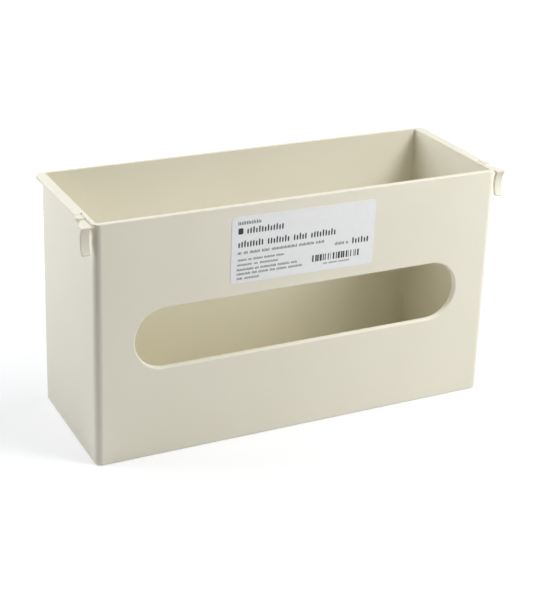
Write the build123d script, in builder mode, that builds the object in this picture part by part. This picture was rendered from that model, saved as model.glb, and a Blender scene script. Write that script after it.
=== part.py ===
from build123d import *
import os

# Glove box holder: an open-topped moulded box that hangs by two rails under a wall
# cabinet. Gloves are pulled through the slot in the front. The rails slide in from the
# front, and a spring catch at the front end of each one snaps home. A curved finger tab
# below each catch presses it free again.
#
# Millimetres, +Z up. The slotted front faces -Y, and +X is to the right of someone who
# looks at it. The origin is the centre of the underside of the base.

# Box
box_width = 267.0
box_depth = 97.3
box_height = 152.8
front_wall = 3.8
wall = 2.4
base_wall = 3.0
corner_radius = 4.6
inner_corner_radius = 1.2
base_edge_radius = 1.2
floor_radius = 1.0
rim_radius = 0.5

# Dispensing slot in the front wall
slot_length = 218.5
slot_height = 38.7
slot_centre_height = 76.6
slot_edge_radius = 1.0
slot_back_edge_radius = 0.5

# Rails along the top of both ends
rail_reach = 4.3
rail_thickness = 2.3
rail_corner_radius = 4.2
rail_root_radius = 0.8

# Slit that frees the front end of each rail as a spring arm, with a round hole at its end
slit_width = 0.7
slit_length = 21.0
slit_end_radius = 0.8

# Spring arm, with its top set a little below the rail's
arm_recess = 0.9
arm_edge_radius = 0.3

# Detent rib across each arm
rib_setback = 13.5
rib_length = 6.4
rib_bulge = 1.1
rib_edge_radius = 0.25

# Catch at the front end of each arm, with a ramp behind it
catch_reach = 3.0
catch_length = 5.0
ramp_length = 7.0
ramp_radius = 1.0

# Curved finger tab that hangs from the catch, hollow towards the front
tab_width = 5.8
tab_drop = 17.0
tab_thickness = 2.2
tab_bow = 3.0
tab_corner_radius = 1.3
tab_edge_radius = 0.6

# Adhesive label on the front wall, stuck on by hand and so slightly askew
label_width = 96.0
label_height = 41.8
label_thickness = 0.2
label_corner_radius = 2.8
label_offset = -1.4
label_below_rim = 28.1
label_tilt = -0.4

# Places that follow from the sizes above
end_x = box_width / 2
front_y = -box_depth / 2
back_y = box_depth / 2
inner_width = box_width - 2 * wall
inner_depth = box_depth - front_wall - wall
inner_centre_y = (front_wall - wall) / 2
rail_x = end_x + rail_reach
rail_underside = box_height - rail_thickness
slit_end_y = front_y + slit_length
arm_top = box_height - arm_recess
slit_centre_x = end_x + slit_width / 2
arm_inner_x = end_x + slit_width
rib_front_y = front_y + rib_setback
rib_back_y = rib_front_y + rib_length
catch_x = rail_x + catch_reach
catch_back_y = front_y + catch_length
ramp_back_y = catch_back_y + ramp_length
tab_bottom = arm_top - tab_drop
tab_top = rail_underside - tab_edge_radius
tab_curve_radius = ((tab_drop / 2) ** 2 + tab_bow**2) / (2 * tab_bow)
tab_curve_centre = (front_y + tab_bow - tab_curve_radius, arm_top - tab_drop / 2)


def rail_plate():
    """The right rail behind the slit: a plate level with the rim, with a rounded back corner."""
    with BuildPart() as plate:
        with BuildSketch(Plane.XY.offset(rail_underside)):
            with BuildLine():
                Polyline(
                    (end_x - corner_radius, slit_end_y),
                    (rail_x, slit_end_y),
                    (rail_x, back_y),
                    (end_x - corner_radius, back_y),
                    close=True,
                )
            make_face()
        extrude(amount=rail_thickness)
        outer_back_edge = plate.edges().filter_by(Axis.Z).group_by(Axis.X)[-1].sort_by(Axis.Y)[-1]
        fillet(outer_back_edge, rail_corner_radius)
        # Filled corner between the plate and the end wall below it
        with BuildSketch(Plane.XZ.offset(-slit_end_y - slit_end_radius)):
            with BuildLine():
                Line((end_x, rail_underside), (end_x + rail_root_radius, rail_underside))
                RadiusArc(
                    (end_x + rail_root_radius, rail_underside),
                    (end_x, rail_underside - rail_root_radius),
                    -rail_root_radius,
                )
                Line((end_x, rail_underside - rail_root_radius), (end_x, rail_underside))
            make_face()
        extrude(amount=slit_end_y + slit_end_radius - back_y + corner_radius)
    return plate.part


def spring_catch():
    """The right spring arm with its detent rib, its ramped catch and its finger tab."""
    with BuildPart() as catch:
        # Arm and catch in plan
        with BuildSketch(Plane.XY.offset(rail_underside)):
            with BuildLine():
                Polyline(
                    (arm_inner_x, slit_end_y + slit_end_radius),
                    (arm_inner_x, front_y),
                    (catch_x, front_y),
                    (catch_x, catch_back_y),
                    (rail_x, ramp_back_y),
                    (rail_x, slit_end_y + slit_end_radius),
                    close=True,
                )
            make_face()
        extrude(amount=arm_top - rail_underside)
        # Finger tab as a piece of a tube wall
        with BuildSketch(Plane.YZ.offset(catch_x - tab_width)):
            with Locations(tab_curve_centre):
                Circle(tab_curve_radius + tab_thickness)
            with Locations((front_y, tab_bottom)):
                Rectangle(
                    tab_bow + tab_thickness,
                    tab_drop,
                    align=(Align.MIN, Align.MIN),
                    mode=Mode.INTERSECT,
                )
        extrude(amount=tab_width)
        # Hollow front of the tab and of the catch above it
        with BuildSketch(Plane.YZ.offset(arm_inner_x)):
            with Locations(tab_curve_centre):
                Circle(tab_curve_radius)
        extrude(amount=catch_x - arm_inner_x, mode=Mode.SUBTRACT)
        # Rounded lower corners of the tab
        fillet(catch.faces().sort_by(Axis.Z)[0].edges().filter_by(Axis.Y), tab_corner_radius)
        # Rounded edges: all round the tab, both ends of the ramp, then the top
        tab_edges = catch.edges().filter_by_position(Axis.Z, tab_bottom, tab_top)
        fillet(tab_edges.filter_by(Axis.Y, reverse=True), tab_edge_radius)
        upright_edges = catch.edges().filter_by(Axis.Z)
        fillet(upright_edges.filter_by_position(Axis.Y, catch_back_y, ramp_back_y), ramp_radius)
        fillet(catch.faces().sort_by(Axis.Z)[-1].edges(), arm_edge_radius)
        # Detent rib, level with the rail behind it
        with BuildSketch(Plane.XY.offset(rail_underside)):
            with BuildLine():
                Polyline(
                    (rail_x, rib_front_y),
                    (arm_inner_x, rib_front_y),
                    (arm_inner_x, rib_back_y),
                    (rail_x, rib_back_y),
                )
                SagittaArc((rail_x, rib_back_y), (rail_x, rib_front_y), rib_bulge)
            make_face()
        extrude(amount=rail_thickness)
        fillet(catch.faces().sort_by(Axis.Z)[-1].edges(), rib_edge_radius)
    return catch.part


os.makedirs("parts", exist_ok=True)

right_plate = rail_plate()
right_catch = spring_catch()

with BuildPart() as holder:
    # Outside of the box
    with BuildSketch():
        RectangleRounded(box_width, box_depth, corner_radius)
    extrude(amount=box_height)
    fillet(holder.faces().sort_by(Axis.Z)[0].edges(), base_edge_radius)
    add(right_plate)
    add(mirror(right_plate, about=Plane.YZ))

    # Inside of the box, open at the top
    with BuildSketch(Plane.XY.offset(base_wall)):
        with Locations((0, inner_centre_y)):
            RectangleRounded(inner_width, inner_depth, inner_corner_radius)
    extrude(amount=box_height, mode=Mode.SUBTRACT)
    fillet(holder.faces(Select.LAST).sort_by(Axis.Z)[0].edges(), floor_radius)
    fillet(holder.faces().sort_by(Axis.Z)[-1].edges(), rim_radius)

    # Spring arms with their catches and tabs
    add(right_catch)
    add(mirror(right_catch, about=Plane.YZ))
    with BuildSketch(Plane.XY.offset(rail_underside)):
        with Locations((slit_centre_x, slit_end_y), (-slit_centre_x, slit_end_y)):
            Circle(slit_end_radius)
    extrude(amount=rail_thickness, mode=Mode.SUBTRACT)

    # Dispensing slot
    with BuildSketch(Plane.XZ.offset(-front_y)):
        with Locations((0, slot_centre_height)):
            SlotOverall(slot_length, slot_height)
    extrude(amount=-front_wall, mode=Mode.SUBTRACT)
    slot_outlines = holder.edges(Select.LAST).group_by(Axis.Y)
    fillet(slot_outlines[0], slot_edge_radius)
    fillet(slot_outlines[-1], slot_back_edge_radius)

holder.part.label = "holder"
export_step(holder.part, "parts/holder.step")

with BuildPart() as label:
    with BuildSketch(Plane.XZ.offset(-front_y)):
        with Locations((label_offset, box_height - label_below_rim)):
            RectangleRounded(label_width, label_height, label_corner_radius, rotation=label_tilt)
    extrude(amount=label_thickness)

label.part.label = "label"
export_step(label.part, "parts/label.step")
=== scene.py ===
import math

import bpy
import numpy as np
from mathutils import Matrix


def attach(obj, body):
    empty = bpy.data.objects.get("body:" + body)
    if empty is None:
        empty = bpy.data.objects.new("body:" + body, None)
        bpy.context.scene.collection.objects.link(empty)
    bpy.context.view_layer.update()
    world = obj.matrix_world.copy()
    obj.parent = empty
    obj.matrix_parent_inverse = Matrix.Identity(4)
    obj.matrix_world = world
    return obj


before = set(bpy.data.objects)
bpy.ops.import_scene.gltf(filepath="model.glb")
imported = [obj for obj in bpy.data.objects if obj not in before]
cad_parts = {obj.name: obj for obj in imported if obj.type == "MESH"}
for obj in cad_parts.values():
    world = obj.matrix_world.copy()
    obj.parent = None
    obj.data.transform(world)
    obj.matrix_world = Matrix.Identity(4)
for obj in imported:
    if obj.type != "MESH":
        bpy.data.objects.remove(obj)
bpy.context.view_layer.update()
scene = bpy.context.scene
MM = 0.001

# Camera

CAMERA_AZIMUTH = math.radians(26.634)
CAMERA_ELEVATION = math.radians(20.794)
CAMERA_ROLL = math.radians(-1.982)
CAMERA_PLACE = np.array([-383.28, -763.30, 446.19]) * MM
CAMERA_LENS = 87.456
CAMERA_SHIFT = -0.1365


def camera_turn(azimuth, elevation, roll):
    """Rotation matrix of the camera. Its line of sight leaves along +Y, turned towards +X by
    the azimuth and down by the elevation; the picture is then rolled about that line."""
    sight = np.array([
        math.sin(azimuth) * math.cos(elevation),
        math.cos(azimuth) * math.cos(elevation),
        -math.sin(elevation),
    ])
    right = np.cross(sight, [0.0, 0.0, 1.0])
    right /= np.linalg.norm(right)
    up = np.cross(right, sight)
    rolled_right = math.cos(roll) * right - math.sin(roll) * up
    rolled_up = math.sin(roll) * right + math.cos(roll) * up
    return np.column_stack([rolled_right, rolled_up, -sight])


camera_data = bpy.data.cameras.new("camera")
camera_data.lens = CAMERA_LENS
camera_data.shift_y = CAMERA_SHIFT
camera_data.sensor_width = 36.0
camera_data.clip_start = 0.05
camera_data.clip_end = 50.0
camera = bpy.data.objects.new("camera", camera_data)
scene.collection.objects.link(camera)
placed = np.eye(4)
placed[:3, :3] = camera_turn(CAMERA_AZIMUTH, CAMERA_ELEVATION, CAMERA_ROLL)
placed[:3, 3] = CAMERA_PLACE
camera.matrix_world = Matrix(placed.tolist())
scene.camera = camera
scene.view_settings.view_transform = "Standard"

# Materials

IVORY = ((0.850, 0.808, 0.664, 1.0), (0.870, 0.828, 0.690, 1.0))
VINYL_WHITE = ((0.890, 0.886, 0.880, 1.0), (0.910, 0.906, 0.900, 1.0))
INK_BLACK = ((0.022, 0.022, 0.026, 1.0), (0.075, 0.075, 0.082, 1.0))


def new_material(name):
    """A material with one Principled shader, returned with its node tree and that shader."""
    material = bpy.data.materials.new(name)
    material.use_nodes = True
    tree = material.node_tree
    return material, tree, tree.nodes["Principled BSDF"]


def node(tree, kind, **settings):
    """A new node, with each setting put on the socket of that name or else on the node."""
    made = tree.nodes.new(kind)
    for key, value in settings.items():
        if key in made.inputs:
            made.inputs[key].default_value = value
        else:
            setattr(made, key, value)
    return made


def noise(tree, scale, detail):
    """Noise on the piece's own coordinates."""
    made = node(tree, "ShaderNodeTexNoise", Scale=scale, Detail=detail)
    place = node(tree, "ShaderNodeTexCoord").outputs["Object"]
    tree.links.new(place, made.inputs["Vector"])
    return made.outputs["Fac"]


def span(tree, value, low=0.0, high=1.0, to_low=0.0, to_high=1.0):
    """The value carried from one range to another and held at its ends."""
    made = node(tree, "ShaderNodeMapRange")
    made.inputs["From Min"].default_value = low
    made.inputs["From Max"].default_value = high
    made.inputs["To Min"].default_value = to_low
    made.inputs["To Max"].default_value = to_high
    tree.links.new(value, made.inputs["Value"])
    return made.outputs["Result"]


def two_tone(tree, shader, factor, tones):
    """Base colour that goes from the first tone to the second with the factor."""
    colour = node(tree, "ShaderNodeMix", data_type="RGBA")
    colour.inputs["A"].default_value = tones[0]
    colour.inputs["B"].default_value = tones[1]
    tree.links.new(factor, colour.inputs["Factor"])
    tree.links.new(colour.outputs["Result"], shader.inputs["Base Color"])


def bumped(tree, shader, height, strength, distance):
    """A bump of the given height pattern, its distance in metres."""
    bump = node(tree, "ShaderNodeBump", Strength=strength, Distance=distance)
    tree.links.new(height, bump.inputs["Height"])
    tree.links.new(bump.outputs["Normal"], shader.inputs["Normal"])


def moulded_plastic():
    """Ivory satin plastic with a fine grain, a faint cloudiness in its colour and smoother and
    rougher patches."""
    material, tree, shader = new_material("ivory_plastic")
    clouds = noise(tree, scale=14.0, detail=2.0)
    two_tone(tree, shader, span(tree, clouds, low=0.35, high=0.65), IVORY)
    patches = noise(tree, scale=55.0, detail=4.0)
    roughness = span(tree, patches, low=0.3, high=0.7, to_low=0.54, to_high=0.64)
    tree.links.new(roughness, shader.inputs["Roughness"])
    grain = noise(tree, scale=1500.0, detail=2.0)
    bumped(tree, shader, grain, strength=0.12, distance=0.0001)
    shader.inputs["IOR"].default_value = 1.45
    return material


def label_vinyl():
    """White satin vinyl, slightly uneven where it is stuck down."""
    material, tree, shader = new_material("label_vinyl")
    fibres = noise(tree, scale=420.0, detail=3.0)
    two_tone(tree, shader, span(tree, fibres, low=0.35, high=0.65), VINYL_WHITE)
    waves = noise(tree, scale=60.0, detail=2.0)
    bumped(tree, shader, waves, strength=0.15, distance=0.0002)
    shader.inputs["Roughness"].default_value = 0.38
    return material


def printing_ink():
    """Black print, a little thin and grey in places."""
    material, tree, shader = new_material("printing_ink")
    thin = noise(tree, scale=2600.0, detail=2.0)
    two_tone(tree, shader, span(tree, thin, low=0.45, high=0.75), INK_BLACK)
    shader.inputs["Roughness"].default_value = 0.5
    return material


def dress(piece, material):
    """Gives the piece this material alone."""
    piece.data.materials.clear()
    piece.data.materials.append(material)


dress(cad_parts["holder"], moulded_plastic())
dress(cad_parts["label"], label_vinyl())

# Printing on the label, in millimetres

# The label's middle across and up, its turn, and the Y of its outer face
LABEL_MIDDLE = (-1.4, 124.7)
LABEL_TILT = math.radians(-0.4)
LABEL_FACE = -48.85

# How far the ink reaches into the label and stands out of it
INK_DEPTH = 0.05
INK_HEIGHT = 0.03

# Each row of words: left end, middle height, letter height, word lengths, gap between words.
# Places in this and the next two values are from the middle of the label.
WORD_ROWS = [
    (-44.3, 17.0, 2.4, [15.2], 0.0),
    (-38.6, 12.0, 4.2, [24.6], 0.0),
    (-44.1, 3.7, 4.4, [17.0, 15.0, 9.4, 17.4], 2.2),
    (-44.0, -1.8, 2.0, [2.6, 2.9, 6.6, 5.2, 17.0, 10.4, 5.6], 1.2),
    (-43.8, -6.3, 1.5, [5.8, 2.6, 6.4, 7.2, 5.2], 0.8),
    (-44.0, -9.4, 1.5, [9.4, 2.6, 11.8], 1.4),
    (-44.3, -12.4, 1.7, [11.0, 2.6, 10.6, 8.0, 4.0], 0.9),
    (-44.3, -15.1, 1.7, [9.0, 3.4, 6.6, 3.6, 6.8, 9.4], 0.9),
    (-44.2, -18.0, 1.6, [3.8, 9.6], 1.2),
    (20.8, -4.5, 2.2, [6.6, 1.6], 1.2),
    (32.4, -4.0, 4.2, [12.0], 0.0),
    (13.4, -16.3, 1.1, [3.0, 6.0, 7.6], 0.8),
]

# Small block: middle across and up, width, height
BLOCK = (-42.3, 11.9, 3.2, 3.8)

# Field of stripes: left end, right end, middle height, height
STRIPES = (5.8, 38.2, -12.2, 4.3)
STRIPE_COUNT = 38

# Spacing of the letter blocks as a share of their height, and the inked share of the spacing
LETTER_PITCH = 0.44
LETTER_FILL = 0.52

# Height of the lowest letter block as a share of the tallest
LETTER_LEAST = 0.74

# Angle that varies the letter blocks: for each block along a word, and for each millimetre of
# the word's length
ANGLE_PER_BLOCK = 2.3
ANGLE_PER_LENGTH = 1.7

# Least stripe width and its step, before the field is fitted to its length
STRIPE_LEAST = 0.22
STRIPE_STEP = 0.26

# Squareness of the plates: 2 is an ellipse, and more is squarer
LETTER_SQUARENESS = 3.2
BLOCK_SQUARENESS = 6.0
STRIPE_SQUARENESS = 14.0
BAR_POINTS = 24


def word_bars():
    """Stand-ins for words: each one is a row of plain upright blocks, about a set share of the
    letter height apart. Their heights take one of three values by the sine of an angle that
    grows with their number and with the word's length."""
    bars = []
    for left, middle, height, words, gap in WORD_ROWS:
        for length in words:
            count = max(2, round(length / (LETTER_PITCH * height)))
            pitch = length / count
            number = np.arange(count)
            angle = number * ANGLE_PER_BLOCK + length * ANGLE_PER_LENGTH
            tall = np.round(1.0 + np.sin(angle)) / 2.0
            block = height * (LETTER_LEAST + (1.0 - LETTER_LEAST) * tall)
            bars.append(np.column_stack([
                left + (number + 0.5) * pitch,
                middle - height / 2 + block / 2,
                np.full(count, pitch * LETTER_FILL / 2),
                block / 2,
                np.full(count, LETTER_SQUARENESS),
            ]))
            left += length + gap
    return np.concatenate(bars)


def stripe_bars():
    """A field of upright stripes. Their widths take nought to three steps by the product of a
    sine and a cosine of their number, so they code for nothing. Every other one is inked."""
    left, right, middle, height = STRIPES
    number = np.arange(STRIPE_COUNT)
    steps = np.round(1.5 + 1.5 * np.sin(number * 2.4) * np.cos(number * 1.1))
    width = STRIPE_LEAST + STRIPE_STEP * steps
    scale = (right - left) / width.sum()
    start = left + (np.cumsum(width) - width) * scale
    stripes = np.column_stack([
        start + width * scale / 2,
        np.full(STRIPE_COUNT, middle),
        width * scale / 2,
        np.full(STRIPE_COUNT, height / 2),
        np.full(STRIPE_COUNT, STRIPE_SQUARENESS),
    ])
    return stripes[::2]


def label_print():
    """Low closed plates of ink, one for each bar. A bar is its middle across and up, its half
    width, its half height and its squareness. The outline of a plate is a superellipse: x and
    z are the half width and half height times the signed 2/squareness powers of the cosine and
    sine of an angle. One ring of it lies inside the label and one at the top of the ink, and
    each is closed by a point in its middle."""
    middle_x, middle_z, width, height = BLOCK
    block = np.array([[middle_x, middle_z, width / 2, height / 2, BLOCK_SQUARENESS]])
    bars = np.concatenate([word_bars(), block, stripe_bars()])
    angle = np.linspace(0.0, 2.0 * np.pi, BAR_POINTS, endpoint=False) + np.pi / BAR_POINTS
    power = 2.0 / bars[:, 4:5]
    across = bars[:, 2:3] * np.sign(np.cos(angle)) * np.abs(np.cos(angle)) ** power
    upward = bars[:, 3:4] * np.sign(np.sin(angle)) * np.abs(np.sin(angle)) ** power
    middle = np.zeros((len(bars), 1))
    x = bars[:, 0:1] + np.concatenate([across, across, middle, middle], 1)
    z = bars[:, 1:2] + np.concatenate([upward, upward, middle, middle], 1)
    inside = np.full(BAR_POINTS, INK_DEPTH)
    outside = np.full(BAR_POINTS, -INK_HEIGHT)
    y = np.broadcast_to(np.concatenate([inside, outside, inside[:1], outside[:1]]), x.shape)
    turned_x = LABEL_MIDDLE[0] + x * math.cos(LABEL_TILT) - z * math.sin(LABEL_TILT)
    turned_z = LABEL_MIDDLE[1] + x * math.sin(LABEL_TILT) + z * math.cos(LABEL_TILT)
    vertices = np.stack([turned_x, LABEL_FACE + y, turned_z], -1).reshape(-1, 3) * MM
    here = np.arange(BAR_POINTS)
    beside = (here + 1) % BAR_POINTS
    back_point = np.full(BAR_POINTS, 2 * BAR_POINTS)
    sides = np.column_stack([here, beside, beside + BAR_POINTS, here + BAR_POINTS])
    back = np.column_stack([back_point, beside, here])
    front = np.column_stack([back_point + 1, here + BAR_POINTS, beside + BAR_POINTS])
    first = np.arange(len(bars))[:, None, None] * (2 * BAR_POINTS + 2)
    quads = (sides[None] + first).reshape(-1, 4)
    triangles = (np.concatenate([back, front])[None] + first).reshape(-1, 3)
    return new_piece("label_print", vertices, quads.tolist() + triangles.tolist())


def new_piece(name, vertices, faces):
    """A mesh object of that name, at the origin."""
    mesh = bpy.data.meshes.new(name)
    mesh.from_pydata(vertices.tolist(), [], faces)
    mesh.update()
    piece = bpy.data.objects.new(name, mesh)
    scene.collection.objects.link(piece)
    return piece


ink = label_print()
dress(ink, printing_ink())
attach(ink, "root")

# Floor and background

FLOOR_RADIUS = 6.0
FLOOR_POINTS = 64

# The floor as it lights the object, and as the camera sees it
FLOOR_TONES = ((0.76, 0.76, 0.76, 1.0), (0.50, 0.50, 0.50, 1.0))

# Glow that the camera sees on the floor, and the distances in metres over which it grows
NEAR_GLOW = 0.51
FAR_GLOW = 1.0
GLOW_START = 0.24
GLOW_END = 0.90

# Strength of the white background in reflections
REFLECTED_WORLD = 0.30


def floor_material():
    """Matt and pale. The camera sees a greyer sheet with a glow on top, which grows to full
    white with the distance from the object, so that only the shadow close to it shows."""
    material, tree, shader = new_material("white_floor")
    shader.inputs["Roughness"].default_value = 0.9
    shader.inputs["Specular IOR Level"].default_value = 0.0
    seen = node(tree, "ShaderNodeLightPath").outputs["Is Camera Ray"]
    two_tone(tree, shader, seen, FLOOR_TONES)
    distance = node(tree, "ShaderNodeVectorMath", operation="LENGTH")
    place = node(tree, "ShaderNodeTexCoord").outputs["Object"]
    tree.links.new(place, distance.inputs[0])
    far = distance.outputs["Value"]
    growth = span(tree, far, low=GLOW_START, high=GLOW_END, to_low=NEAR_GLOW, to_high=FAR_GLOW)
    strength = node(tree, "ShaderNodeMath", operation="MULTIPLY")
    tree.links.new(seen, strength.inputs[0])
    tree.links.new(growth, strength.inputs[1])
    glow = node(tree, "ShaderNodeEmission")
    tree.links.new(strength.outputs[0], glow.inputs["Strength"])
    both = node(tree, "ShaderNodeAddShader")
    tree.links.new(shader.outputs[0], both.inputs[0])
    tree.links.new(glow.outputs[0], both.inputs[1])
    tree.links.new(both.outputs[0], tree.nodes["Material Output"].inputs["Surface"])
    return material


def floor_sheet():
    """A round sheet: radius times cosine and sine of an angle, at the height of the base."""
    angle = np.linspace(0.0, 2.0 * np.pi, FLOOR_POINTS, endpoint=False)
    across = FLOOR_RADIUS * np.cos(angle)
    along = FLOOR_RADIUS * np.sin(angle)
    vertices = np.stack([across, along, np.zeros(FLOOR_POINTS)], -1)
    return new_piece("floor", vertices, [list(range(FLOOR_POINTS))])


def studio_world():
    """White where the camera sees it, and a dimmer white in reflections. It gives no other
    light."""
    world = bpy.data.worlds.new("studio")
    world.use_nodes = True
    scene.world = world
    tree = world.node_tree
    path = node(tree, "ShaderNodeLightPath")
    reflected = span(tree, path.outputs["Is Glossy Ray"], to_high=REFLECTED_WORLD)
    seen = node(tree, "ShaderNodeMath", operation="MAXIMUM")
    tree.links.new(path.outputs["Is Camera Ray"], seen.inputs[0])
    tree.links.new(reflected, seen.inputs[1])
    background = tree.nodes["Background"]
    background.inputs["Color"].default_value = (1.0, 1.0, 1.0, 1.0)
    tree.links.new(seen.outputs[0], background.inputs["Strength"])


floor = floor_sheet()
dress(floor, floor_material())
studio_world()

# Lights

WHITE = (1.0, 1.0, 1.0)
OBJECT_MIDDLE = (0.0, 0.0, 0.08)
RIGHT_END = (0.13, 0.0, 0.08)

# A point on the floor under the floor panel, 1 mm off so that the panel has a side direction
UNDER_FLOOR_PANEL = (0.60, -0.621, 0.0)

# Name, place and aim in metres, width and height in metres, power in watts, colour
LIGHTS = [
    ("window_right", (1.42, 0.38, 0.39), OBJECT_MIDDLE, 0.70, 0.70, 4.90, WHITE),
    ("panel_above", (0.40, -0.20, 1.45), OBJECT_MIDDLE, 0.80, 0.80, 6.70, WHITE),
    ("panel_behind", (-0.25, 0.60, 0.35), OBJECT_MIDDLE, 0.40, 0.30, 1.90, (0.96, 0.98, 1.0)),
    ("panel_left", (-0.55, 0.25, 0.42), OBJECT_MIDDLE, 0.30, 0.30, 2.35, (0.90, 0.93, 1.0)),
    ("panel_right", (0.60, -0.45, 0.30), RIGHT_END, 0.35, 0.35, 0.64, WHITE),
    ("floor_panel", (0.60, -0.62, 0.90), UNDER_FLOOR_PANEL, 0.50, 0.40, 12.41, (0.97, 0.98, 1.0)),
]


def studio_light(name, place, aim, width, height, power, colour):
    """A soft rectangular panel that shines from its place towards its aim."""
    data = bpy.data.lights.new(name, "AREA")
    data.shape = "RECTANGLE"
    data.size = width
    data.size_y = height
    data.energy = power
    data.color = colour
    lamp = bpy.data.objects.new(name, data)
    scene.collection.objects.link(lamp)
    lamp.visible_camera = False
    away = np.array(place) - np.array(aim)
    away /= np.linalg.norm(away)
    side = np.cross([0.0, 0.0, 1.0], away)
    side /= np.linalg.norm(side)
    turned = np.eye(4)
    turned[:3, :3] = np.column_stack([side, np.cross(away, side), away])
    turned[:3, 3] = place
    lamp.matrix_world = Matrix(turned.tolist())


for light in LIGHTS:
    studio_light(*light)
